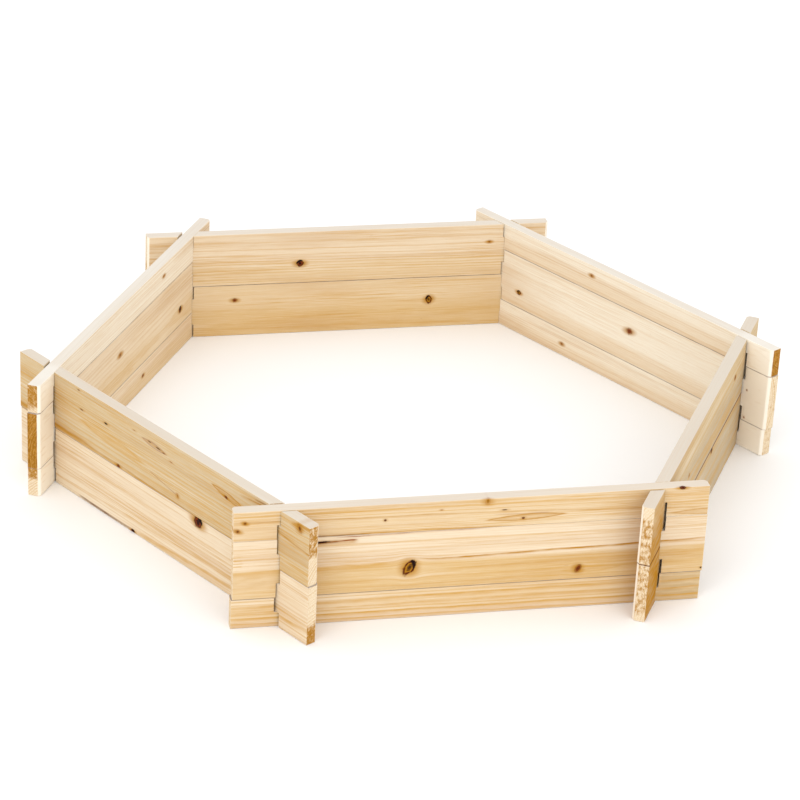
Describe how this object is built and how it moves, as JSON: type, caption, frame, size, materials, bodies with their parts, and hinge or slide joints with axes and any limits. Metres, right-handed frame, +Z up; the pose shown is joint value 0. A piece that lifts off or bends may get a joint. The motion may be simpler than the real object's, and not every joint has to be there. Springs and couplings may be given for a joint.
{
  "type": "hexagonal sandbox",
  "caption": "Six-sided sandbox or raised bed frame of notched softwood boards that interlock at the corners and run on past them as short tails; open above and below.",
  "frame": {"origin": "centre of the hexagon on the ground plane", "axes": "+Z up, +X along the front wall to its right end, the front wall on the -Y side"},
  "size_m": [1.2652, 1.1572, 0.2],
  "materials": {
    "spruce": "planed, untreated softwood with visible grain and knots"
  },
  "bodies": {
    "root": {"front_bottom_board": "spruce", "front_middle_board": "spruce", "front_top_board": "spruce", "front_right_lower_board": "spruce", "front_right_upper_board": "spruce", "back_right_bottom_board": "spruce", "back_right_middle_board": "spruce", "back_right_top_board": "spruce", "back_lower_board": "spruce", "back_upper_board": "spruce", "back_left_bottom_board": "spruce", "back_left_middle_board": "spruce", "back_left_top_board": "spruce", "front_left_lower_board": "spruce", "front_left_upper_board": "spruce"}
  },
  "joints": []
}
